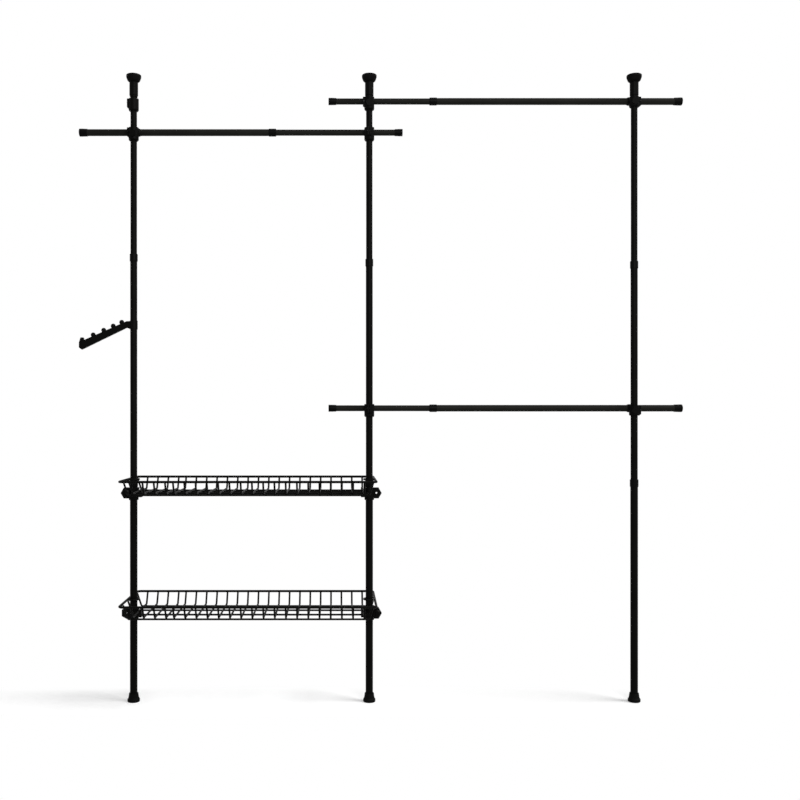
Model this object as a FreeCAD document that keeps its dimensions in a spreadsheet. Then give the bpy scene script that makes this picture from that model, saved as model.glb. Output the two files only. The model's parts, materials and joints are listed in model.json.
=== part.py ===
import FreeCAD, Part
import math
import os
import re
import Sketcher

# Open frame wardrobe: three telescopic poles wedged between floor and ceiling, three
# telescopic clothes rails, two wire baskets and a sloping hook arm. Millimetres, +Z up,
# the front faces -Y, and the origin is under the middle pole's foot.

# Driving sizes
SIZES = {
    # Room and pole places
    "ceiling_height": 2392.5,
    "left_bay_width": 900.0,
    "right_bay_width": 1012.0,
    # Pole tubes
    "lower_tube_dia": 28.0,
    "pole_wall": 0.6,
    "telescope_gap": 0.3,
    "fit_gap": 0.1,
    "tube_overlap": 260.0,
    "lower_joint_height": 848.0,
    "upper_joint_height": 1690.0,
    "left_joint_lift": 19.0,
    "right_joint_drop": 8.0,
    # Joint collars
    "collar_length": 28.0,
    "collar_wall": 1.9,
    "collar_lip": 3.0,
    "collar_chamfer": 1.1,
    # Feet
    "foot_height": 33.0,
    "foot_floor": 6.0,
    "foot_rim_flare": 9.4,
    "foot_rim_height": 10.0,
    "foot_waist_flare": 5.7,
    "foot_waist_height": 16.0,
    "foot_neck_wall": 3.4,
    "foot_edge_radius": 3.0,
    # Jacks and ceiling pads
    "jack_sleeve_length": 56.0,
    "jack_sleeve_wall": 3.8,
    "jack_shoulder": 25.0,
    "jack_neck_cut": 1.6,
    "jack_neck_length": 4.0,
    "jack_chamfer": 1.5,
    "jack_stem_dia": 16.0,
    "jack_stem_length": 110.0,
    "pad_gap": 0.4,
    "pad_height": 27.0,
    "pad_foot_flare": 0.8,
    "pad_bowl_flare": 7.0,
    "pad_bowl_height": 5.5,
    "pad_wall_flare": 9.4,
    "pad_wall_height": 11.5,
    "pad_rim_flare": 11.8,
    "pad_rim_height": 18.5,
    "pad_chamfer": 1.2,
    # Clothes rails
    "rail_dia": 25.4,
    "rail_wall": 1.0,
    "rail_offset": 30.0,
    "rail_overlap": 200.0,
    "left_rail_drop": 210.0,
    "left_rail_outer_stub": 215.0,
    "left_rail_inner_stub": 129.0,
    "left_rail_joint": 358.0,
    "top_clamp_gap": 1.1,
    "low_rail_lift": 272.5,
    "right_rail_outer_stub": 193.0,
    "right_rail_inner_stub": 156.0,
    "right_rail_joint": 233.0,
    # Rail end caps
    "cap_length": 30.0,
    "cap_wall": 2.2,
    "cap_end": 3.0,
    "cap_rim": 6.0,
    "cap_groove": 0.8,
    "cap_groove_width": 1.6,
    "cap_narrowing": 0.7,
    "cap_edge_radius": 1.6,
    # Clamps
    "clamp_wall": 5.9,
    "clamp_height": 49.0,
    "left_clamp_drop": 40.5,
    "top_clamp_drop": 43.5,
    "low_clamp_drop": 33.5,
    "short_clamp_height": 38.0,
    "low_short_clamp_drop": 28.5,
    "clamp_chamfer": 2.2,
    "clamp_chamfer_height": 4.0,
    "clamp_sleeve_wall": 3.0,
    "clamp_sleeve_length": 27.0,
    "clamp_fairing_length": 5.0,
    "clamp_fairing_wall": 1.2,
    "clamp_web_width": 22.0,
    "clamp_web_depth": 14.0,
    "clamp_ear_reach": 5.5,
    "clamp_ear_depth": 15.0,
    "clamp_ear_height": 32.0,
    "clamp_ear_taper": 6.0,
    "clamp_slit": 2.0,
    "clamp_plate_width": 25.0,
    "clamp_plate_depth": 2.4,
    "lock_height": 46.0,
    "lock_gap": 8.0,
    # Clamp screws
    "screw_dia": 3.0,
    "screw_head_dia": 5.4,
    "screw_head_height": 3.0,
    "screw_socket_dia": 2.9,
    "screw_socket_depth": 1.6,
    # Wire baskets
    "lower_basket_height": 391.5,
    "basket_gap": 2.0,
    "basket_depth": 318.0,
    "basket_floor_depth": 256.0,
    "basket_height": 44.3,
    "basket_end_gap": 0.4,
    "basket_floor_inset": 5.0,
    "rim_wire_dia": 9.2,
    "rim_corner_radius": 18.0,
    "wire_dia": 7.2,
    "wire_bend_radius": 8.0,
    "weld_gap": 0.05,
    "bow_gap": 0.6,
    # Basket brackets
    "bracket_height": 48.0,
    "bracket_top_drop": 31.0,
    "bracket_wall": 4.0,
    "bracket_chamfer": 1.5,
    "hook_web": 1.0,
    "hook_gap": 0.2,
    "hook_lip": 5.0,
    "hook_block_depth": 26.0,
    "hook_block_floor": 11.0,
    "ear_reach": 5.0,
    "ear_lift": 3.0,
    "ear_eye_set": 3.7,
    "ear_eye_dia": 7.0,
    "ear_flats": 41.0,
    "ear_front": 14.0,
    "ear_back": 10.0,
    "open_ear_front": 9.0,
    "open_ear_back": 7.0,
    # Clamping knobs
    "knob_gap": 0.3,
    "knob_dia": 30.0,
    "knob_skirt": 7.0,
    "knob_crown": 4.0,
    "knob_crown_dia": 22.0,
    "knob_grip_length": 24.0,
    "knob_grip_width": 6.0,
    "knob_grip_height": 5.0,
    # Hook arm
    "hook_drop": 271.0,
    "hook_ring_wall": 1.4,
    "hook_ring_height": 33.0,
    "hook_depth": 16.0,
    "hook_edge_radius": 2.2,
    "hook_root_reach": 26.4,
    "hook_root_rise": 15.0,
    "hook_root_fall": 20.0,
    "hook_neck_rise": 14.2,
    "hook_neck_fall": 10.6,
    "hook_reach": 189.5,
    "hook_fall": 57.6,
    "hook_tip_rise": 10.0,
    "hook_tip_lean": 2.0,
    "hook_tip_width": 10.5,
    "hook_nose_reach": 18.6,
    "hook_brow_fall": 9.0,
    "hook_nose_fall": 28.5,
    "hook_toe_fall": 36.4,
    "hook_toe_set": 8.4,
    "peg_dia": 18.5,
    "peg_neck_dia": 15.0,
    "peg_height": 4.9,
    "peg_first": 21.2,
    "peg_pitch": 35.5,
    "peg_pitch_growth": 4.2,
    # Reach of every cutter past what it cuts
    "overrun": 4.0,
}

# Counts and shares
FLOOR_WIRES = 4
CROSS_WIRES = 22
WIRES_BEFORE_NARROW_GAP = 4
NARROW_GAP_SHARE = 0.71
BOW_RUNS = 4
PEGS = 4
PLATE_SIDES = 8
HEX_SIDES = 6

# Sizes that follow from the driving ones
DERIVED = {
    "left_pole_x": "-left_bay_width",
    "lower_radius": "lower_tube_dia / 2",
    "middle_radius": "lower_radius - pole_wall - telescope_gap",
    "top_radius": "middle_radius - pole_wall - telescope_gap",
    "rail_radius": "rail_dia / 2",
    "inner_rail_radius": "rail_radius - rail_wall - telescope_gap",
    "left_upper_joint": "upper_joint_height + left_joint_lift",
    "right_upper_joint": "upper_joint_height - right_joint_drop",
    "jack_sleeve_top": "ceiling_height - pad_height - pad_gap",
    "jack_sleeve_bottom": "jack_sleeve_top - jack_sleeve_length",
    "jack_radius": "top_radius + telescope_gap + jack_sleeve_wall",
    "top_tube_end": "jack_sleeve_top - jack_shoulder - pad_gap",
    "left_rail_z": "ceiling_height - left_rail_drop",
    "top_rail_z": "jack_sleeve_bottom - top_clamp_gap - clamp_height + top_clamp_drop",
    "top_short_clamp_drop": "top_clamp_drop - clamp_height + short_clamp_height",
    "low_rail_z": "lower_joint_height + low_rail_lift",
    "hook_z": "left_upper_joint - hook_drop",
    "bracket_radius": "lower_radius + telescope_gap + bracket_wall",
    "first_wire": "bracket_radius + hook_web + hook_gap + wire_dia / 2",
    "ear_offset": "bracket_radius + ear_reach",
    "eye_offset": "ear_offset + ear_eye_set",
    "collar_radius": "lower_radius + collar_wall",
    "rim_end": "collar_radius + basket_end_gap + rim_wire_dia / 2",
    "bow_radius": "collar_radius + bow_gap + wire_dia / 2",
    "upper_basket_z": "lower_joint_height - collar_length - basket_gap + bracket_top_drop",
    "lower_basket_z": "lower_basket_height",
    "bracket_bottom_drop": "bracket_top_drop + bracket_height",
    "ear_height": "bracket_height / 2 + ear_lift",
    "ear_drop": "bracket_bottom_drop - ear_height",
    "clamp_radius": "middle_radius + clamp_wall",
    "clamp_ear_end": "clamp_radius + clamp_ear_reach",
    "clamp_screw_set": "clamp_radius + clamp_ear_reach / 2",
    "hook_ring_radius": "middle_radius + telescope_gap + hook_ring_wall",
    "slope_run": "hook_reach - hook_root_reach",
    "slope_fall": "hook_neck_rise + hook_fall",
}

UPRIGHT = FreeCAD.Rotation()
ALONG_X = FreeCAD.Rotation(FreeCAD.Vector(0, 1, 0), 90)
AGAINST_X = FreeCAD.Rotation(FreeCAD.Vector(0, 1, 0), -90)
TO_FRONT = FreeCAD.Rotation(FreeCAD.Vector(1, 0, 0), 90)
HALF_TURN = FreeCAD.Rotation(FreeCAD.Vector(0, 0, 1), 180)
QUARTER_TURN = FreeCAD.Rotation(FreeCAD.Vector(0, 0, 1), -90)
FULL_CIRCLE = 360
SAME_LEVEL = 1e-6
WORD = re.compile(r"[a-z][a-z_]*")

doc = FreeCAD.newDocument("wardrobe")
subparts = []


# Sheets and bindings
def bound(text):
    """An expression with each size's name led by the sheet that holds it."""

    def lead(found):
        word = found.group(0)
        if word in SIZES:
            return "sizes." + word
        return "derived." + word if word in DERIVED else word

    return WORD.sub(lead, text)


def fill_sheet(name, cells):
    sheet = doc.addObject("Spreadsheet::Sheet", name)
    for row, (alias, content) in enumerate(cells.items(), 1):
        sheet.set(f"A{row}", alias)
        sheet.set(f"B{row}", content)
        sheet.setAlias(f"B{row}", alias)
    return sheet


sizes = fill_sheet("sizes", {name: str(value) for name, value in SIZES.items()})
derived = fill_sheet("derived", {name: "=" + bound(text) for name, text in DERIVED.items()})
doc.recompute()


def size(name):
    """A size's number, for the pieces that are made point by point."""
    return float((sizes if name in SIZES else derived).get(name))


def bind(item, properties):
    for path, text in properties.items():
        item.setExpression(path, bound(text))


def place(item, at, turn=UPRIGHT):
    """Puts a piece at three expressions, turned."""
    item.Placement = FreeCAD.Placement(FreeCAD.Vector(), turn)
    bind(item, {"Placement.Base." + axis: text for axis, text in zip("xyz", at) if text != "0"})
    return item


def subpart(item, label):
    item.Label = label
    subparts.append(item)
    return item


# Part primitives and booleans
def cylinder(name, radius, length, at=("0", "0", "0"), turn=UPRIGHT):
    item = doc.addObject("Part::Cylinder", name)
    bind(item, {"Radius": radius, "Height": length})
    return place(item, at, turn)


def cone(name, low_radius, high_radius, length, at=("0", "0", "0"), turn=UPRIGHT):
    item = doc.addObject("Part::Cone", name)
    bind(item, {"Radius1": low_radius, "Radius2": high_radius, "Height": length})
    return place(item, at, turn)


def box(name, extents, at):
    item = doc.addObject("Part::Box", name)
    bind(item, dict(zip(("Length", "Width", "Height"), extents)))
    return place(item, at)


def prism(name, sides, radius, length, at, turn):
    item = doc.addObject("Part::Prism", name)
    item.Polygon = sides
    bind(item, {"Circumradius": radius, "Height": length})
    return place(item, at, turn)


def wedge(name, low, high, depth, height, at):
    """An upright block of one depth, whose left and right ends lie at low below and at high above."""
    item = doc.addObject("Part::Wedge", name)
    front, back = f"-{depth} / 2", f"{depth} / 2"
    bind(item, {"Xmin": low[0], "Xmax": low[1], "X2min": high[0], "X2max": high[1]})
    bind(item, {"Zmin": front, "Zmax": back, "Z2min": front, "Z2max": back})
    bind(item, {"Ymin": "0", "Ymax": height})
    return place(item, at, TO_FRONT)


def fuse(name, shapes):
    item = doc.addObject("Part::MultiFuse", name)
    item.Shapes = shapes
    return item


def cut(name, base, tools):
    item = doc.addObject("Part::Cut", name)
    item.Base = base
    item.Tool = tools[0] if len(tools) == 1 else fuse(name + "_cutters", tools)
    return item


# Sketched bodies
def sketch_on(body, role, name):
    plane = next(item for item in body.Origin.OriginFeatures if item.Role == role)
    sketch = body.newObject("Sketcher::SketchObject", name)
    sketch.AttachmentSupport = [(plane, "")]
    sketch.MapMode = "FlatFace"
    return sketch


def outline(sketch, points):
    """A closed outline of straight lines, each corner held by two expressions."""
    count = len(points)
    steps = [2 * math.pi * index / count for index in range(count)]
    seeds = [FreeCAD.Vector(math.cos(step), math.sin(step), 0) for step in steps]
    for index in range(count):
        sketch.addGeometry(Part.LineSegment(seeds[index], seeds[(index + 1) % count]), False)
    for index in range(count):
        sketch.addConstraint(Sketcher.Constraint("Coincident", index, 2, (index + 1) % count, 1))
    for index, corner in enumerate(points):
        for kind, text, seed in zip(("DistanceX", "DistanceY"), corner, seeds[index]):
            held = sketch.addConstraint(Sketcher.Constraint(kind, -1, 1, index, 1, seed))
            bind(sketch, {f"Constraints[{held}]": text})


def circle(sketch, radius):
    """A circle about the sketch's origin."""
    sketch.addGeometry(Part.Circle(FreeCAD.Vector(), FreeCAD.Vector(0, 0, 1), 1), False)
    sketch.addConstraint(Sketcher.Constraint("Coincident", 0, 3, -1, 1))
    held = sketch.addConstraint(Sketcher.Constraint("Radius", 0, 1))
    bind(sketch, {f"Constraints[{held}]": radius})


def turned(name, points):
    """A body turned about its own Z from an outline of radius and height."""
    body = doc.addObject("PartDesign::Body", name)
    sketch = sketch_on(body, "XZ_Plane", name + "_outline")
    outline(sketch, points)
    turn = body.newObject("PartDesign::Revolution", name + "_turn")
    turn.Profile = sketch
    turn.ReferenceAxis = (sketch, ["V_Axis"])
    turn.Angle = FULL_CIRCLE
    doc.recompute()
    return body


def round_foot(body, radius):
    """Rounds the widest circular edge of a turned body's lowest face."""
    base = body.Tip
    level = base.Shape.BoundBox.ZMin
    rings = {
        f"Edge{index}": edge.Curve.Radius
        for index, edge in enumerate(base.Shape.Edges, 1)
        if edge.Curve.TypeId == "Part::GeomCircle" and abs(edge.CenterOfMass.z - level) < SAME_LEVEL
    }
    fillet = body.newObject("PartDesign::Fillet", body.Name + "_round")
    fillet.Base = (base, [max(rings, key=rings.get)])
    bind(fillet, {"Radius": radius})
    return body


# Tubes and turned fittings
def tube(label, radius, wall, length, at, turn=UPRIGHT):
    outer = cylinder(label + "_outside", radius, length)
    bore_length = f"{length} + 2 * overrun"
    bore = cylinder(label + "_bore", f"{radius} - {wall}", bore_length, ("0", "0", "-overrun"))
    return subpart(place(cut(label, outer, [bore]), at, turn), label)


def joint_collar(label, outer_tube, inner_tube, at, turn=UPRIGHT):
    """A ring on a tube's end, whose lip guides the tube that slides inside."""
    outside = f"{outer_tube} + collar_wall"
    seat = f"{outer_tube} + fit_gap"
    guide = f"{inner_tube} + telescope_gap"
    body = turned(label, [
        (seat, "0"),
        (f"{outside} - collar_chamfer", "0"),
        (outside, "collar_chamfer"),
        (outside, "collar_length - collar_chamfer"),
        (f"{outside} - collar_chamfer", "collar_length"),
        (guide, "collar_length"),
        (guide, "collar_length - collar_lip"),
        (seat, "collar_length - collar_lip"),
    ])
    return subpart(place(body, at, turn), label)


def foot(label, at):
    seat = "lower_radius + fit_gap"
    body = turned(label, [
        ("0", "0"),
        ("lower_radius + foot_rim_flare", "0"),
        ("lower_radius + foot_rim_flare", "foot_rim_height"),
        ("lower_radius + foot_waist_flare", "foot_waist_height"),
        ("lower_radius + foot_neck_wall", "foot_height"),
        (seat, "foot_height"),
        (seat, "foot_floor"),
        ("0", "foot_floor"),
    ])
    return subpart(place(round_foot(body, "foot_edge_radius"), at), label)


def jack_sleeve(label, at):
    """A turning nut: a socket for the tube's end below, a bore for the stem above."""
    socket = "top_radius + telescope_gap"
    stem = "jack_stem_dia / 2 + telescope_gap"
    shoulder = "jack_sleeve_length - jack_shoulder"
    body = turned(label, [
        (socket, "0"),
        ("jack_radius - jack_neck_cut", "0"),
        ("jack_radius - jack_neck_cut", "jack_neck_length"),
        ("jack_radius", "jack_neck_length + jack_neck_cut"),
        ("jack_radius", "jack_sleeve_length - jack_chamfer"),
        ("jack_radius - jack_chamfer", "jack_sleeve_length"),
        (stem, "jack_sleeve_length"),
        (stem, shoulder),
        (socket, shoulder),
    ])
    return subpart(place(body, at), label)


def ceiling_pad(label, at):
    """A flared pad with its stem below."""
    stem = "jack_stem_dia / 2"
    body = turned(label, [
        ("0", "-jack_stem_length"),
        (stem, "-jack_stem_length"),
        (stem, "0"),
        ("jack_radius + pad_foot_flare", "0"),
        ("jack_radius + pad_bowl_flare", "pad_bowl_height"),
        ("jack_radius + pad_wall_flare", "pad_wall_height"),
        ("jack_radius + pad_rim_flare", "pad_rim_height"),
        ("jack_radius + pad_rim_flare", "pad_height - pad_chamfer"),
        ("jack_radius + pad_rim_flare - pad_chamfer", "pad_height"),
        ("0", "pad_height"),
    ])
    return subpart(place(body, at), label)


def end_cap(label, radius, at, turn):
    """A cap over a rail's end, with a rim, a groove and a slight taper."""
    outside = f"{radius} + cap_wall"
    seat = f"{radius} + fit_gap"
    groove_end = "cap_rim + cap_groove_width"
    body = turned(label, [
        ("0", "0"),
        (outside, "0"),
        (outside, "cap_rim"),
        (f"{outside} - cap_groove", "cap_rim"),
        (f"{outside} - cap_groove", groove_end),
        (outside, groove_end),
        (f"{outside} - cap_narrowing", "cap_length"),
        (seat, "cap_length"),
        (seat, "cap_end"),
        ("0", "cap_end"),
    ])
    return subpart(place(round_foot(body, "cap_edge_radius"), at, turn), label)


# Clamps and their screws. A clamp's ear side is 1 to +X, -1 to -X and 0 to the front.
EAR_TURNS = {1: UPRIGHT, -1: HALF_TURN, 0: QUARTER_TURN}


def split_collar(label, pole, height, ear_side):
    """The collar of a clamp, from its chamfered foot up, and the cutter for its bore, slit and screw."""
    ear = ("0", "clamp_ear_end")
    root = ("0", "clamp_radius - clamp_chamfer")
    ear_low = f"{height} - clamp_ear_height"
    collar_height = f"{height} - clamp_chamfer_height"
    tall = f"{height} + 2 * overrun"
    across = "clamp_ear_depth + 2 * overrun"
    grip = fuse(label + "_grip", [
        cone(label + "_chamfer", "clamp_radius - clamp_chamfer", "clamp_radius", "clamp_chamfer_height"),
        cylinder(label + "_collar", "clamp_radius", collar_height, ("0", "0", "clamp_chamfer_height")),
        wedge(label + "_ear", ear, ear, "clamp_ear_depth", "clamp_ear_height", ("0", "0", ear_low)),
        wedge(
            label + "_ear_root",
            root,
            ear,
            "clamp_ear_depth",
            "clamp_ear_taper",
            ("0", "0", f"{ear_low} - clamp_ear_taper"),
        ),
    ])
    cutter = fuse(label + "_grip_cutter", [
        cylinder(label + "_bore", f"{pole} + fit_gap", tall, ("0", "0", "-overrun")),
        box(
            label + "_slit",
            ("clamp_ear_end + overrun", "clamp_slit", tall),
            ("0", "-clamp_slit / 2", "-overrun"),
        ),
        cylinder(
            label + "_screw_hole",
            "screw_dia / 2 + fit_gap",
            across,
            ("clamp_screw_set", f"({across}) / 2", f"{height} - clamp_ear_height / 2"),
            TO_FRONT,
        ),
    ])
    return [place(item, ("0", "0", "0"), EAR_TURNS[ear_side]) for item in (grip, cutter)]


def clamp_screw(label, clamp, at):
    """A socket head screw through a clamp's ear, its head at the front, or at the left of a front ear."""
    height, drop, ear_side = clamp
    total = "(clamp_ear_depth + screw_head_height)"
    shank = cylinder(label + "_shank", "screw_dia / 2", "clamp_ear_depth")
    head = cylinder(label + "_head", "screw_head_dia / 2", "screw_head_height", ("0", "0", "clamp_ear_depth"))
    socket = prism(
        label + "_socket",
        HEX_SIDES,
        "screw_socket_dia / 2",
        "screw_socket_depth + overrun",
        ("0", "0", f"{total} - screw_socket_depth"),
        UPRIGHT,
    )
    screw = cut(label, fuse(label + "_blank", [shank, head]), [socket])
    x, y, z = at
    level = f"{z} - {drop} + {height} - clamp_ear_height / 2"
    if ear_side == 0:
        return place(screw, (f"{x} + clamp_ear_depth / 2", f"{y} - clamp_screw_set", level), AGAINST_X)
    ear_x = f"{x} + {ear_side} * clamp_screw_set"
    return place(screw, (ear_x, f"{y} + clamp_ear_depth / 2", level), TO_FRONT)


def rail_clamp(label, pole, rail, rail_gap, clamp, at):
    """A split collar with a sleeve for the rail behind it, its axis drop above the collar's foot."""
    height, drop, ear_side = clamp
    sleeve = f"({rail} + clamp_sleeve_wall)"
    mouth = f"{rail} + clamp_fairing_wall"
    half = "clamp_sleeve_length / 2"
    length = "(clamp_sleeve_length + 2 * clamp_fairing_length + 2 * overrun)"
    axis = ("rail_offset", drop)
    grip, grip_cutter = split_collar(label, pole, height, ear_side)
    if ear_side != 0:
        front = "(clamp_radius + clamp_plate_depth)"
        flats = f"clamp_plate_width / 2 / cos(180 / {PLATE_SIDES})"
        plate_at = ("0", "0", f"{height} / 2")
        plate = prism(label + "_plate", PLATE_SIDES, flats, front, plate_at, TO_FRONT)
        grip = fuse(label + "_plated_grip", [grip, plate])
    carrier = fuse(label + "_carrier", [
        cylinder(label + "_sleeve", sleeve, "clamp_sleeve_length", (f"-{half}", *axis), ALONG_X),
        cone(label + "_fairing_a", sleeve, mouth, "clamp_fairing_length", (half, *axis), ALONG_X),
        cone(label + "_fairing_b", sleeve, mouth, "clamp_fairing_length", (f"-{half}", *axis), AGAINST_X),
        box(
            label + "_web",
            ("clamp_web_width", "rail_offset", "clamp_web_depth"),
            ("-clamp_web_width / 2", "0", f"{drop} - clamp_web_depth"),
        ),
    ])
    rail_bore = cylinder(
        label + "_rail_bore", f"{rail} + {rail_gap}", length, (f"-{length} / 2", *axis), ALONG_X
    )
    body = cut(label, fuse(label + "_blank", [grip, carrier]), [grip_cutter, rail_bore])
    x, y, z = at
    return subpart(place(body, (x, y, f"{z} - {drop}")), label)


def lock_clamp(label, pole, clamp, at):
    height, drop, ear_side = clamp
    grip, grip_cutter = split_collar(label, pole, height, ear_side)
    return subpart(place(cut(label, grip, [grip_cutter]), at), label)


def group(label, items):
    item = doc.addObject("Part::Compound", label)
    item.Links = items
    return subpart(item, label)


# Rails
def rail(name, side, bay, outer_stub, inner_stub, joint, pole, rail_z, outer_clamp, middle_clamp):
    """A telescopic rail behind the poles. side is the way its inner tube points: 1 to +X, -1 to -X."""
    far_turn, near_turn = (ALONG_X, AGAINST_X) if side > 0 else (AGAINST_X, ALONG_X)

    def at(along):
        return (f"{-side} * ({along})", "rail_offset", rail_z)

    outer_end = f"{bay} + {outer_stub}"
    outer_length = f"({outer_end} - cap_end - {joint} - collar_lip)"
    inner_length = f"({joint} + rail_overlap + {inner_stub} - cap_end)"
    outer_at = at(f"{outer_end} - cap_end")
    tube(name + "_outer_tube", "rail_radius", "rail_wall", outer_length, outer_at, far_turn)
    joint_collar(
        name + "_joint_collar", "rail_radius", "inner_rail_radius", at(f"{joint} + collar_length"), far_turn
    )
    end_cap(name + "_outer_cap", "rail_radius", at(outer_end), far_turn)
    inner_at = at(f"{joint} + rail_overlap")
    tube(name + "_inner_tube", "inner_rail_radius", "rail_wall", inner_length, inner_at, far_turn)
    end_cap(name + "_inner_cap", "inner_rail_radius", at(f"-{inner_stub}"), near_turn)
    outer_x = f"{-side} * {bay}"
    outer_name = "left" if side > 0 else "right"
    outer_pole, middle_pole = (outer_x, "0", rail_z), ("0", "0", rail_z)
    rail_clamp(f"{name}_{outer_name}_clamp", pole, "rail_radius", "fit_gap", outer_clamp, outer_pole)
    rail_clamp(f"{name}_middle_clamp", pole, "inner_rail_radius", "telescope_gap", middle_clamp, middle_pole)
    return [
        clamp_screw(f"{name}_{outer_name}_screw", outer_clamp, outer_pole),
        clamp_screw(f"{name}_middle_screw", middle_clamp, middle_pole),
    ]


# Wire baskets
def bent_path(corners, bend, closed=False):
    """Straight runs through the corners, joined by tangent arcs of one radius."""
    count = len(corners)
    turns = range(count) if closed else range(1, count - 1)
    rounds = {}
    for index in turns:
        here, before, after = corners[index], corners[index - 1], corners[(index + 1) % count]
        back = (before - here).normalize()
        ahead = (after - here).normalize()
        half = back.getAngle(ahead) / 2
        bisector = (back + ahead).normalize()
        centre = here + bisector * (bend / math.sin(half))
        reach = bend / math.tan(half)
        rounds[index] = (here + back * reach, centre - bisector * bend, here + ahead * reach)
    edges = []
    for index in range(count if closed else count - 1):
        after = (index + 1) % count
        start = rounds[index][2] if index in rounds else corners[index]
        end = rounds[after][0] if after in rounds else corners[after]
        edges.append(Part.LineSegment(start, end).toShape())
        if after in rounds:
            edges.append(Part.Arc(*rounds[after]).toShape())
    return Part.Wire(edges)


def wire(edges, diameter):
    """A round wire swept along a run of edges, square to the first."""
    path = Part.Wire(edges)
    first = path.OrderedEdges[0]
    start = first.valueAt(first.FirstParameter)
    section = Part.Wire(Part.makeCircle(diameter / 2, start, first.tangentAt(first.FirstParameter)))
    return path.makePipeShell([section], True, False)


def bent_wire(corners, bend, diameter):
    """A wire bent twice: a straight rise at either end and the run between them with both bends."""
    edges = bent_path(corners, bend).OrderedEdges
    return [wire(run, diameter) for run in (edges[:1], edges[1:-1], edges[-1:])]


def rim_wires(left, right, half_depth):
    """A closed rim: two long sides, and two ends with the rounded corners."""
    corners = [(left, -half_depth), (right, -half_depth), (right, half_depth), (left, half_depth)]
    points = [FreeCAD.Vector(x, y, 0) for x, y in corners]
    edges = bent_path(points, size("rim_corner_radius"), closed=True).OrderedEdges
    return [wire(run, size("rim_wire_dia")) for run in (edges[:1], edges[1:4], edges[4:5], edges[5:])]


def bow_wires(pole, side, leg):
    """A bow round a pole, its two legs ending at the rim. side is the way the bow reaches."""
    bow, thin = size("bow_radius"), size("wire_dia")

    def on_bow(share):
        turn = math.pi * (share - 1 / 2)
        return FreeCAD.Vector(pole + side * bow * math.cos(turn), bow * math.sin(turn), 0)

    runs = []
    for index in range(BOW_RUNS):
        marks = [on_bow((index + step) / BOW_RUNS) for step in (0, 1 / 2, 1)]
        runs.append(Part.Arc(*marks).toShape())
    for end in (on_bow(0), on_bow(1)):
        runs.append(Part.makeLine(end, end - FreeCAD.Vector(side * leg, 0, 0)))
    return [wire([run], thin) for run in runs]


def basket(label, height):
    """Rim, cross and floor wires that bend up to it, and a bow round each pole."""
    vector = FreeCAD.Vector
    bay, rim_end = size("left_bay_width"), size("rim_end")
    half_rim, half_floor = size("basket_depth") / 2, size("basket_floor_depth") / 2
    drop, thin, thick = size("basket_height"), size("wire_dia"), size("rim_wire_dia")
    gap, bend = size("weld_gap"), size("wire_bend_radius")
    wires = rim_wires(-bay - rim_end, rim_end, half_rim)

    top = half_rim - (thick + thin) / 2 - gap
    side_view = [(-top, 0), (-half_floor, -drop), (half_floor, -drop), (top, 0)]
    cross_wire = bent_wire([vector(0, y, z) for y, z in side_view], bend, thin)
    first = size("first_wire")
    pitch = (bay - 2 * first) / (CROSS_WIRES - 2 + NARROW_GAP_SHARE)
    for index in range(CROSS_WIRES):
        narrowed = (1 - NARROW_GAP_SHARE) * pitch if index >= WIRES_BEFORE_NARROW_GAP else 0
        x = -bay + first + index * pitch - narrowed
        wires += [run.translated(vector(x, 0, 0)) for run in cross_wire]

    floor_z = -drop - thin - gap
    inset, end_reach = size("basket_floor_inset"), rim_end - (thick + thin) / 2 - gap
    front_view = [(-bay - end_reach, 0), (-bay + inset, floor_z), (-inset, floor_z), (end_reach, 0)]
    floor_wire = bent_wire([vector(x, 0, z) for x, z in front_view], bend, thin)
    half_spread = half_floor - bend
    for index in range(FLOOR_WIRES):
        y = -half_spread + 2 * half_spread * index / (FLOOR_WIRES - 1)
        wires += [run.translated(vector(0, y, 0)) for run in floor_wire]

    leg = rim_end - thick / 2 - gap
    for pole, side in ((-bay, 1), (0, -1)):
        wires += bow_wires(pole, side, leg)
    item = doc.addObject("Part::Feature", label)
    item.Shape = Part.makeCompound(wires)
    return subpart(place(item, ("0", "0", height)), label)


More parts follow.
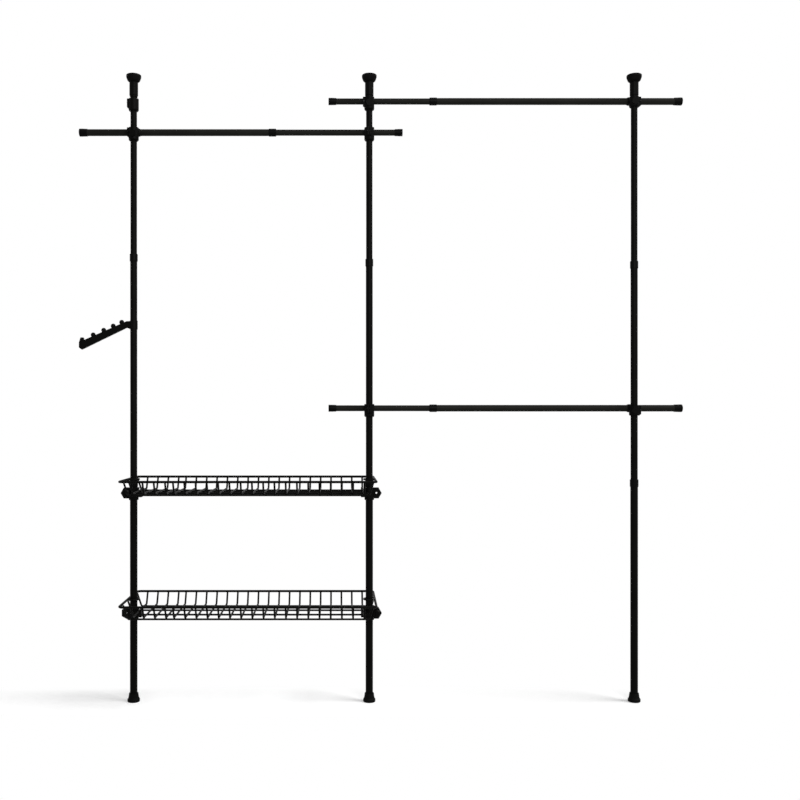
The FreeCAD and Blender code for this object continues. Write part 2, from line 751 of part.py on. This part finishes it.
def basket_bracket(label, inward, at, ear, ear_turn):
    """A ring on the pole with a hook for the basket inward and an ear with an eye outward."""
    turn = UPRIGHT if inward > 0 else HALF_TURN
    hook_end = "(first_wire + wire_dia / 2 + hook_gap + hook_lip)"
    slot_floor = "(bracket_bottom_drop - basket_height - wire_dia / 2)"
    ear_front, ear_back = ear
    ear_base = ear_back if inward > 0 else ear_front
    ring_height = "bracket_height - 2 * bracket_chamfer"
    bore_length = "bracket_height + 2 * overrun"
    solids = [
        cone(label + "_foot", "bracket_radius - bracket_chamfer", "bracket_radius", "bracket_chamfer"),
        cylinder(label + "_ring", "bracket_radius", ring_height, ("0", "0", "bracket_chamfer")),
        cone(
            label + "_crown",
            "bracket_radius",
            "bracket_radius - bracket_chamfer",
            "bracket_chamfer",
            ("0", "0", "bracket_height - bracket_chamfer"),
        ),
        box(
            label + "_hook",
            (hook_end, "hook_block_depth", "bracket_height - hook_block_floor"),
            ("0", "-hook_block_depth / 2", "hook_block_floor"),
        ),
        prism(
            label + "_ear",
            HEX_SIDES,
            "ear_flats / sqrt(3)",
            f"{ear_front} + {ear_back}",
            ("-ear_offset", ear_base, "ear_height"),
            ear_turn,
        ),
    ]
    cutters = [
        cylinder(label + "_bore", "lower_radius + telescope_gap", bore_length, ("0", "0", "-overrun")),
        box(
            label + "_slot",
            ("wire_dia + 2 * hook_gap", "hook_block_depth + 2 * overrun", "bracket_height"),
            ("first_wire - wire_dia / 2 - hook_gap", "-hook_block_depth / 2 - overrun", slot_floor),
        ),
        cylinder(
            label + "_eye",
            "ear_eye_dia / 2",
            "2 * (ear_front + overrun)",
            ("-eye_offset", "ear_front + overrun", "ear_height"),
            TO_FRONT,
        ),
    ]
    x, y, z = at
    body = cut(label, fuse(label + "_blank", solids), cutters)
    return subpart(place(body, (x, y, f"{z} - bracket_bottom_drop"), turn), label)


def knob(label, at):
    """A clamping knob: a stem through the eye, a domed head and a grip bar across it."""
    stem, stem_length = "ear_eye_dia / 2 - telescope_gap", "(ear_front + ear_back + knob_gap)"
    body = fuse(label, [
        cylinder(label + "_stem", stem, stem_length, ("0", "0", f"-{stem_length}")),
        cylinder(label + "_skirt", "knob_dia / 2", "knob_skirt"),
        cone(label + "_crown", "knob_dia / 2", "knob_crown_dia / 2", "knob_crown", ("0", "0", "knob_skirt")),
        box(
            label + "_grip",
            ("knob_grip_width", "knob_grip_length", "knob_crown + knob_grip_height"),
            ("-knob_grip_width / 2", "-knob_grip_length / 2", "knob_skirt"),
        ),
    ])
    return subpart(place(body, at, TO_FRONT), label)


# Hook arm
def hook_arm(label, at):
    """A sloping bar with an upturned tip, on a thin ring round the pole."""
    body = doc.addObject("PartDesign::Body", label)
    side = sketch_on(body, "XZ_Plane", label + "_side")
    outline(side, [
        ("0", "hook_root_rise"),
        ("-hook_root_reach", "hook_neck_rise"),
        ("-hook_reach", "-hook_fall"),
        ("-(hook_reach + hook_tip_lean)", "hook_tip_rise - hook_fall"),
        ("-(hook_reach + hook_tip_lean + hook_tip_width)", "hook_tip_rise - hook_fall"),
        ("-(hook_reach + hook_nose_reach)", "-(hook_fall + hook_brow_fall)"),
        ("-(hook_reach + hook_nose_reach)", "-(hook_fall + hook_nose_fall)"),
        ("-(hook_reach + hook_toe_set)", "-(hook_fall + hook_toe_fall)"),
        ("-hook_root_reach", "-hook_neck_fall"),
        ("0", "-hook_root_fall"),
    ])
    bar = body.newObject("PartDesign::Pad", label + "_bar")
    bar.Profile = side
    bar.Midplane = True
    bind(bar, {"Length": "hook_depth"})
    doc.recompute()
    rounded = body.newObject("PartDesign::Fillet", label + "_rounded")
    rounded.Base = (bar, ["Edge1"])
    rounded.UseAllEdges = True
    bind(rounded, {"Radius": "hook_edge_radius"})
    doc.recompute()
    ring_outline = sketch_on(body, "XY_Plane", label + "_ring_outline")
    circle(ring_outline, "hook_ring_radius")
    ring = body.newObject("PartDesign::Pad", label + "_ring")
    ring.Profile = ring_outline
    ring.Midplane = True
    bind(ring, {"Length": "hook_ring_height"})
    doc.recompute()
    bore_outline = sketch_on(body, "XY_Plane", label + "_bore_outline")
    circle(bore_outline, "middle_radius + telescope_gap")
    bore = body.newObject("PartDesign::Pocket", label + "_bore")
    bore.Profile = bore_outline
    bore.Midplane = True
    bind(bore, {"Length": "hook_ring_height + 2 * overrun"})
    return subpart(place(body, at), label)


def hook_pegs(label, at):
    """Upright ball-headed pegs on the arm's upper edge, their pitch growing towards the tip."""
    x, y, z = at
    slope = math.atan2(size("slope_fall"), size("slope_run"))
    into_arm = FreeCAD.Rotation(FreeCAD.Vector(0, 1, 0), math.degrees(math.pi - slope))
    length = "sqrt(slope_run ^ 2 + slope_fall ^ 2)"
    pegs = []
    for index in range(PEGS):
        name = f"{label}_{index + 1}"
        growth = f"{index * (index - 1) // 2} * peg_pitch_growth"
        along = f"(peg_first + {index} * peg_pitch + {growth}) / {length}"
        neck_length = "peg_height + peg_neck_dia / 2"
        neck = cylinder(name + "_neck", "peg_neck_dia / 2", neck_length, ("0", "0", "-peg_neck_dia / 2"))
        ball = doc.addObject("Part::Sphere", name + "_ball")
        bind(ball, {"Radius": "peg_dia / 2"})
        place(ball, ("0", "0", "peg_height"))
        peg_x = f"{x} - hook_root_reach - slope_run * {along}"
        peg_z = f"{z} + hook_neck_rise - slope_fall * {along}"
        below_edge = cylinder(name + "_below_edge", "peg_dia", "peg_dia", turn=into_arm)
        peg = cut(name, fuse(name + "_blank", [neck, ball]), [below_edge])
        pegs.append(place(peg, (peg_x, y, peg_z)))
    return group(label, pegs)


# The three poles
POLES = {
    "left": ("left_pole_x", "left_upper_joint"),
    "middle": ("0", "upper_joint_height"),
    "right": ("right_bay_width", "right_upper_joint"),
}
for pole, (x, upper_joint) in POLES.items():
    foot(f"{pole}_foot", (x, "0", "0"))
    lower_length = "(lower_joint_height - collar_lip - foot_floor)"
    tube(f"{pole}_lower_tube", "lower_radius", "pole_wall", lower_length, (x, "0", "foot_floor"))
    lower_ring = (x, "0", "lower_joint_height - collar_length")
    joint_collar(f"{pole}_lower_collar", "lower_radius", "middle_radius", lower_ring)
    middle_length = f"({upper_joint} - collar_lip - lower_joint_height + tube_overlap)"
    middle_end = "lower_joint_height - tube_overlap"
    tube(f"{pole}_middle_tube", "middle_radius", "pole_wall", middle_length, (x, "0", middle_end))
    upper_ring = (x, "0", f"{upper_joint} - collar_length")
    joint_collar(f"{pole}_upper_collar", "middle_radius", "top_radius", upper_ring)
    top_length = f"(top_tube_end - {upper_joint} + tube_overlap)"
    tube(f"{pole}_top_tube", "top_radius", "pole_wall", top_length, (x, "0", f"{upper_joint} - tube_overlap"))
    jack_sleeve(f"{pole}_jack_sleeve", (x, "0", "jack_sleeve_bottom"))
    ceiling_pad(f"{pole}_ceiling_pad", (x, "0", "jack_sleeve_top + pad_gap"))

# The three rails, their clamps and the clamp under the left jack
RIGHT_RAIL = ("right_rail_outer_stub", "right_rail_inner_stub", "right_rail_joint")
LEFT_RAIL = ("left_rail_outer_stub", "left_rail_inner_stub", "left_rail_joint")
LEFT_CLAMP = ("clamp_height", "left_clamp_drop")
TOP_CLAMP = ("clamp_height", "top_clamp_drop", -1)
LOW_CLAMP = ("clamp_height", "low_clamp_drop", 0)
TOP_SHORT_CLAMP = ("short_clamp_height", "top_short_clamp_drop", 1)
LOW_SHORT_CLAMP = ("short_clamp_height", "low_short_clamp_drop", 1)
LOCK_CLAMP = ("lock_height", "0", -1)
left_place = (*LEFT_RAIL, "top_radius", "left_rail_z")
top_place = (*RIGHT_RAIL, "top_radius", "top_rail_z")
low_place = (*RIGHT_RAIL, "middle_radius", "low_rail_z")
top_screws = rail("left_rail", 1, "left_bay_width", *left_place, (*LEFT_CLAMP, -1), (*LEFT_CLAMP, 0))
top_screws += rail("top_rail", -1, "right_bay_width", *top_place, TOP_SHORT_CLAMP, TOP_CLAMP)
low_screws = rail("low_rail", -1, "right_bay_width", *low_place, LOW_SHORT_CLAMP, LOW_CLAMP)
lock_at = ("left_pole_x", "0", "jack_sleeve_bottom - lock_gap - lock_height")
lock_clamp("left_lock_clamp", "top_radius", LOCK_CLAMP, lock_at)
top_screws.append(clamp_screw("left_lock_screw", LOCK_CLAMP, lock_at))
group("top_clamp_screws", top_screws)
group("low_clamp_screws", low_screws)

# The two baskets, each on a bracket at either pole: every ear's front and back, and its turn
KNOB_EAR = ("ear_front", "ear_back")
OPEN_EAR = ("open_ear_front", "open_ear_back")
POINT_OUT = TO_FRONT
FLAT_OUT = TO_FRONT.multiply(FreeCAD.Rotation(FreeCAD.Vector(0, 0, 1), FULL_CIRCLE / HEX_SIDES / 2))
EARS = {
    "upper": {"left": (KNOB_EAR, POINT_OUT), "right": (OPEN_EAR, POINT_OUT)},
    "lower": {"left": (OPEN_EAR, FLAT_OUT), "right": (KNOB_EAR, POINT_OUT)},
}
for level, ears in EARS.items():
    height = f"{level}_basket_z"
    basket(f"{level}_basket", height)
    for side, x, inward in (("left", "left_pole_x", 1), ("right", "0", -1)):
        ear, ear_turn = ears[side]
        basket_bracket(f"{level}_{side}_bracket", inward, (x, "0", height), ear, ear_turn)
        if ear == KNOB_EAR:
            eye_x = f"{x} - {inward} * eye_offset"
            knob(f"{level}_knob", (eye_x, "-ear_front - knob_gap", f"{height} - ear_drop"))

# The hook arm on the left pole
HOOK_AT = ("left_pole_x", "0", "hook_z")
hook_arm("hook_arm", HOOK_AT)
hook_pegs("hook_pegs", HOOK_AT)

doc.recompute()

# Nothing is written unless every piece is sound
for item in doc.Objects:
    if "Invalid" in item.State or "Error" in item.State:
        raise RuntimeError(f"{item.Name} failed: {item.State}")
for item in subparts:
    if item.Shape.isNull() or not item.Shape.isValid() or not item.Shape.Solids:
        raise RuntimeError(f"{item.Label} has no sound solid")

os.makedirs("parts", exist_ok=True)
for item in subparts:
    item.Shape.exportStep(f"parts/{item.Label}.step")
print(len(subparts), "sub-parts")
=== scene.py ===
import json
import math

import bmesh
import bpy
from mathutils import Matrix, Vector


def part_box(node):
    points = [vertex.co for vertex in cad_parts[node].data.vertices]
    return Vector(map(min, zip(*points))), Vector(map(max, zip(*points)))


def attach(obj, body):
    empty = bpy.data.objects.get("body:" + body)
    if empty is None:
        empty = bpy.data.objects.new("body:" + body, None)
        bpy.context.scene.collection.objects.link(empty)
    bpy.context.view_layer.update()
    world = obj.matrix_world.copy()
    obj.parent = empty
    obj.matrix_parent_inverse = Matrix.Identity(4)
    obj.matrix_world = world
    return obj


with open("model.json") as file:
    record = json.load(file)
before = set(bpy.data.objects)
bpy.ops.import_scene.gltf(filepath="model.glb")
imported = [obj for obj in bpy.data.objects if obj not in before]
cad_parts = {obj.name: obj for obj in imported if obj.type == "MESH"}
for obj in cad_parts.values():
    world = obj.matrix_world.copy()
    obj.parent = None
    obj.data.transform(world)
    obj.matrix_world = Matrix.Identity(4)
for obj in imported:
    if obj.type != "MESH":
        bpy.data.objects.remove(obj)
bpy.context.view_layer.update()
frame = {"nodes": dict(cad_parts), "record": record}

# The photograph's view: a level camera, its frame shifted off the vanishing point
IMAGE_SIDE = 800
FOCAL_PIXELS = 916
VANISHING_POINT = (335, 419)
CAMERA_PLACE = (-0.131, -3.5, 1.079)

# Light
WHITE = (1, 1, 1, 1)
WORLD_LIGHT = 0.16
SUN_STRENGTH = 3.2
SUN_ANGLE = math.radians(30)
SUN_FROM = (3.0, -0.95, 3.4)
SOFTBOX_POWER = 105.0
SOFTBOX_SIZE = (2.0, 2.4)
SOFTBOX_PLACE = (0.9, -3.7, 2.7)
SOFTBOX_AIM = (0.1, 0.0, 1.5)

# Floor: its colour, the glow that brings it to white, painted stronger on the left and under the baskets
# to fill in their cast shadow, and the fade to white
FLOOR_REACH = 14.0
FLOOR_DARK = (0.597, 0.597, 0.597, 1)
FLOOR_LIGHT = (0.6, 0.6, 0.6, 1)
FLOOR_NOISE = (40.0, 2.0)
FLOOR_ROUGHNESS = 0.9
# Glow from left to right: higher on the left as painted light over the baskets' shadow and the softbox's
# falloff
FLOOR_GLOW = (0.42, 0.32)
FLOOR_GLOW_SPAN = (-1.0, 1.0)
# Painted light in the bay between the left and middle poles, filling in the shadow the baskets cast on
# the floor
BASKET_SHADOW_FILL = 0.12
BAY_CENTRE = (-0.59, 0.0, 0.0)
BAY_SCALE = (1.0, 0.0, 0.0)
BAY_SPAN = (0.22, 0.36)
FADE_CENTRE = (0.0, 0.0, 0.0)
FADE_SCALE = (0.7, 9.0, 1.0)
FADE_SPAN = (1.0, 1.7)

# Wires of the baskets and the welds on them
SAME_POINT = 1e-6
WIRE_REACH = 0.2
WIRE_WIDTH = 0.02
WELD_RADIUS = 0.0037
WELD_FLATTEN = 0.75
WELD_ROUNDS = 2

# Noise of the black finishes, each with its scale and detail, and where a colour ramp starts and ends
DRIFT_NOISE = (9.0, 4.0)
WEAR_NOISE = (60.0, 3.0)
GRAIN_DETAIL = 2.0
RAMP_ENDS = (0.3, 0.7)


# Materials
def new_material(name):
    material = bpy.data.materials.new(name)
    material.use_nodes = True
    nodes = material.node_tree.nodes
    return material, nodes, material.node_tree.links, nodes["Principled BSDF"]


def noise(nodes, links, scale, detail):
    """Noise on the object's own coordinates, so it stays put at every pose."""
    place = nodes.new("ShaderNodeTexCoord")
    texture = nodes.new("ShaderNodeTexNoise")
    texture.inputs["Scale"].default_value = scale
    texture.inputs["Detail"].default_value = detail
    links.new(place.outputs["Object"], texture.inputs["Vector"])
    return texture


def ramp(nodes, links, source, dark, light):
    """A noise spread over two colours."""
    colours = nodes.new("ShaderNodeValToRGB")
    for element, colour, end in zip(colours.color_ramp.elements, (dark, light), RAMP_ENDS):
        element.color = colour
        element.position = end
    links.new(source.outputs["Fac"], colours.inputs["Fac"])
    return colours.outputs["Color"]


def blend(nodes, links, source, low, high, span=(0.0, 1.0)):
    """A value within a span spread from low to high."""
    values = nodes.new("ShaderNodeMapRange")
    values.inputs["From Min"].default_value, values.inputs["From Max"].default_value = span
    values.inputs["To Min"].default_value = low
    values.inputs["To Max"].default_value = high
    links.new(source, values.inputs["Value"])
    return values.outputs["Result"]


def grain(nodes, links, shader, scale, strength, depth):
    """A fine bump on a shader."""
    texture = noise(nodes, links, scale, GRAIN_DETAIL)
    bump = nodes.new("ShaderNodeBump")
    bump.inputs["Strength"].default_value = strength
    bump.inputs["Distance"].default_value = depth
    links.new(texture.outputs["Fac"], bump.inputs["Height"])
    links.new(bump.outputs["Normal"], shader.inputs["Normal"])


def finish_material(name, dark, light, rough, specular, surface, metallic=0.0):
    """A black finish that drifts in colour and gloss. surface is its grain: scale, strength and depth."""
    material, nodes, links, shader = new_material(name)
    drift = noise(nodes, links, *DRIFT_NOISE)
    links.new(ramp(nodes, links, drift, dark, light), shader.inputs["Base Color"])
    wear = noise(nodes, links, *WEAR_NOISE)
    links.new(blend(nodes, links, wear.outputs["Fac"], *rough), shader.inputs["Roughness"])
    shader.inputs["Specular IOR Level"].default_value = specular
    shader.inputs["Metallic"].default_value = metallic
    grain(nodes, links, shader, *surface)
    return material


MATERIALS = {
    "black_steel": finish_material(
        "black powder coat",
        dark=(0.0015, 0.0015, 0.0013, 1),
        light=(0.0026, 0.0026, 0.0023, 1),
        rough=(0.40, 0.50),
        specular=0.026,
        surface=(900.0, 0.25, 0.0002),
    ),
    "black_plastic": finish_material(
        "black moulded plastic",
        dark=(0.0013, 0.0013, 0.0012, 1),
        light=(0.0022, 0.0022, 0.0020, 1),
        rough=(0.36, 0.46),
        specular=0.03,
        surface=(1400.0, 0.2, 0.0001),
    ),
    "black_rubber": finish_material(
        "black rubber",
        dark=(0.0018, 0.0018, 0.0017, 1),
        light=(0.0030, 0.0030, 0.0028, 1),
        rough=(0.55, 0.68),
        specular=0.03,
        surface=(1100.0, 0.3, 0.0002),
    ),
    "screw_steel": finish_material(
        "black oxide steel",
        dark=(0.010, 0.010, 0.010, 1),
        light=(0.016, 0.016, 0.016, 1),
        rough=(0.30, 0.40),
        specular=0.2,
        surface=(1600.0, 0.15, 0.0001),
        metallic=1.0,
    ),
}
# The poles' black powder coat again, with its colour painted lighter on the rails to stand in for the
# light from above that they catch
RAIL_COAT_PAINTED_LIT = finish_material(
    "black powder coat painted lighter for the rails",
    dark=(0.0084, 0.0084, 0.0073, 1),
    light=(0.0112, 0.0112, 0.0098, 1),
    rough=(0.42, 0.52),
    specular=0.026,
    surface=(900.0, 0.25, 0.0002),
)

for entry in frame["record"]["subparts"]:
    node = frame["nodes"][entry["node"]]
    # Rail tubes take the powder coat painted lighter for the light they catch, everything else its own
    # finish
    rail = "_rail_" in entry["node"] and entry["node"].endswith("_tube")
    node.data.materials.clear()
    node.data.materials.append(RAIL_COAT_PAINTED_LIT if rail else MATERIALS[entry["material_slot"]])


# Welds
def wire_boxes(node):
    """The boxes of a basket's separate wires."""
    mesh = bmesh.new()
    mesh.from_mesh(frame["nodes"][node].data)
    bmesh.ops.remove_doubles(mesh, verts=mesh.verts, dist=SAME_POINT)
    left = set(mesh.verts)
    boxes = []
    for first in mesh.verts:
        if first not in left:
            continue
        left.remove(first)
        stack = [first]
        low, high = first.co.copy(), first.co.copy()
        while stack:
            vertex = stack.pop()
            for axis in range(3):
                low[axis] = min(low[axis], vertex.co[axis])
                high[axis] = max(high[axis], vertex.co[axis])
            for edge in vertex.link_edges:
                other = edge.other_vert(vertex)
                if other in left:
                    left.remove(other)
                    stack.append(other)
        boxes.append((low, high))
    mesh.free()
    return boxes


def weld_beads(name, node):
    """A bead at each place where a cross wire meets a floor wire or the rim."""
    bottom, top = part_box(node)
    middle = (bottom + top) / 2
    spans = [(low, high, high - low) for low, high in wire_boxes(node)]
    cross = [(low, high) for low, high, span in spans if span.y > WIRE_REACH and span.x < WIRE_WIDTH]
    along = [(low, high) for low, high, span in spans if span.x > WIRE_REACH]
    floor = [(low.y + high.y) / 2 for low, high in along if low.z < middle.z]
    rim_wire = next(high.z - low.z for low, high in along if low.z > middle.z)
    rim_sides = (bottom.y + rim_wire, top.y - rim_wire)
    rim_z = top.z - rim_wire / 2
    mesh = bmesh.new()
    for low, high in cross:
        x = (low.x + high.x) / 2
        spots = [Vector((x, y, low.z)) for y in floor]
        spots += [Vector((x, y, rim_z)) for y in rim_sides]
        for spot in spots:
            ball = bmesh.ops.create_icosphere(mesh, subdivisions=WELD_ROUNDS, radius=WELD_RADIUS)
            bmesh.ops.scale(mesh, vec=(1, 1, WELD_FLATTEN), verts=ball["verts"])
            bmesh.ops.translate(mesh, vec=spot, verts=ball["verts"])
    data = bpy.data.meshes.new(name)
    mesh.to_mesh(data)
    mesh.free()
    data.polygons.foreach_set("use_smooth", [True] * len(data.polygons))
    data.materials.append(MATERIALS["black_steel"])
    beads = bpy.data.objects.new(name, data)
    bpy.context.scene.collection.objects.link(beads)
    return beads


for level in ("upper", "lower"):
    beads = weld_beads(f"{level}_basket_welds", f"{level}_basket")
    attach(beads, f"{level}_basket")


# Floor and light
def combine(nodes, links, operation, first, second):
    """Two values added, multiplied or otherwise joined."""
    values = nodes.new("ShaderNodeMath")
    values.operation = operation
    links.new(first, values.inputs[0])
    links.new(second, values.inputs[1])
    return values.outputs["Value"]


def seen_directly(nodes, links):
    """1 for rays from the camera, in reflections and through clear pieces, otherwise 0."""
    rays = nodes.new("ShaderNodeLightPath")
    total = rays.outputs["Is Camera Ray"]
    for kind in ("Is Glossy Ray", "Is Transmission Ray"):
        total = combine(nodes, links, "MAXIMUM", total, rays.outputs[kind])
    return total


def stretched_distance(nodes, links, place, centre, scale):
    """The distance from a centre, each axis stretched by its own scale."""
    for operation, vector in (("SUBTRACT", centre), ("MULTIPLY", scale), ("LENGTH", None)):
        step = nodes.new("ShaderNodeVectorMath")
        step.operation = operation
        links.new(place, step.inputs[0])
        if vector:
            step.inputs[1].default_value = vector
            place = step.outputs["Vector"]
    return step.outputs["Value"]


def floor_glow(nodes, links, place):
    """Brings the lit floor up to white, with painted light stronger on the left and under the baskets
    that fills in their cast shadow.
    """
    axes = nodes.new("ShaderNodeSeparateXYZ")
    links.new(place, axes.inputs["Vector"])
    glow = blend(nodes, links, axes.outputs["X"], *FLOOR_GLOW, FLOOR_GLOW_SPAN)
    from_bay = stretched_distance(nodes, links, place, BAY_CENTRE, BAY_SCALE)
    return combine(nodes, links, "ADD", glow, blend(nodes, links, from_bay, BASKET_SHADOW_FILL, 0.0, BAY_SPAN))


def floor_material():
    """A pale floor that keeps the shadows by the feet and is the plain white background further off."""
    material, nodes, links, shader = new_material("white floor")
    speckle = noise(nodes, links, *FLOOR_NOISE)
    links.new(ramp(nodes, links, speckle, FLOOR_DARK, FLOOR_LIGHT), shader.inputs["Base Color"])
    shader.inputs["Roughness"].default_value = FLOOR_ROUGHNESS
    shader.inputs["Specular IOR Level"].default_value = 0.0
    shader.inputs["Emission Color"].default_value = WHITE
    place = nodes.new("ShaderNodeTexCoord").outputs["Object"]
    seen = seen_directly(nodes, links)
    glow = floor_glow(nodes, links, place)
    links.new(combine(nodes, links, "MULTIPLY", glow, seen), shader.inputs["Emission Strength"])
    white = nodes.new("ShaderNodeEmission")
    white.inputs["Color"].default_value = WHITE
    far = stretched_distance(nodes, links, place, FADE_CENTRE, FADE_SCALE)
    fade = blend(nodes, links, far, 0.0, 1.0, FADE_SPAN)
    mix = nodes.new("ShaderNodeMixShader")
    links.new(combine(nodes, links, "MULTIPLY", fade, seen), mix.inputs["Fac"])
    links.new(shader.outputs["BSDF"], mix.inputs[1])
    links.new(white.outputs["Emission"], mix.inputs[2])
    links.new(mix.outputs["Shader"], nodes["Material Output"].inputs["Surface"])
    return material


def make_floor():
    data = bpy.data.meshes.new("floor")
    corners = [(-1, -1), (1, -1), (1, 1), (-1, 1)]
    data.from_pydata([(x * FLOOR_REACH, y * FLOOR_REACH, 0) for x, y in corners], [], [(0, 1, 2, 3)])
    data.materials.append(floor_material())
    floor = bpy.data.objects.new("floor", data)
    bpy.context.scene.collection.objects.link(floor)


def make_world():
    """Soft light all round, seen as plain white."""
    world = bpy.data.worlds.new("studio")
    world.use_nodes = True
    nodes, links = world.node_tree.nodes, world.node_tree.links
    background = nodes["Background"]
    background.inputs["Color"].default_value = WHITE
    strength = blend(nodes, links, seen_directly(nodes, links), WORLD_LIGHT, 1.0)
    links.new(strength, background.inputs["Strength"])
    bpy.context.scene.world = world


def aim(item, place, target):
    item.location = place
    item.rotation_euler = (Vector(target) - Vector(place)).to_track_quat("-Z", "Y").to_euler()
    bpy.context.scene.collection.objects.link(item)
    return item


def make_lamps():
    sun = bpy.data.lights.new("window side", "SUN")
    sun.energy = SUN_STRENGTH
    sun.angle = SUN_ANGLE
    aim(bpy.data.objects.new("window side", sun), SUN_FROM, (0, 0, 0))
    softbox = bpy.data.lights.new("front softbox", "AREA")
    softbox.shape = "RECTANGLE"
    softbox.size, softbox.size_y = SOFTBOX_SIZE
    softbox.energy = SOFTBOX_POWER
    aim(bpy.data.objects.new("front softbox", softbox), SOFTBOX_PLACE, SOFTBOX_AIM)


def make_camera():
    data = bpy.data.cameras.new("photo view")
    data.sensor_fit = "HORIZONTAL"
    data.angle = 2 * math.atan(IMAGE_SIDE / 2 / FOCAL_PIXELS)
    data.shift_x = (IMAGE_SIDE / 2 - VANISHING_POINT[0]) / IMAGE_SIDE
    data.shift_y = (VANISHING_POINT[1] - IMAGE_SIDE / 2) / IMAGE_SIDE
    camera = bpy.data.objects.new("photo view", data)
    camera.location = CAMERA_PLACE
    camera.rotation_euler = (math.pi / 2, 0, 0)
    bpy.context.scene.collection.objects.link(camera)
    bpy.context.scene.camera = camera


make_floor()
make_world()
make_lamps()
make_camera()
bpy.context.scene.view_settings.view_transform = "Standard"
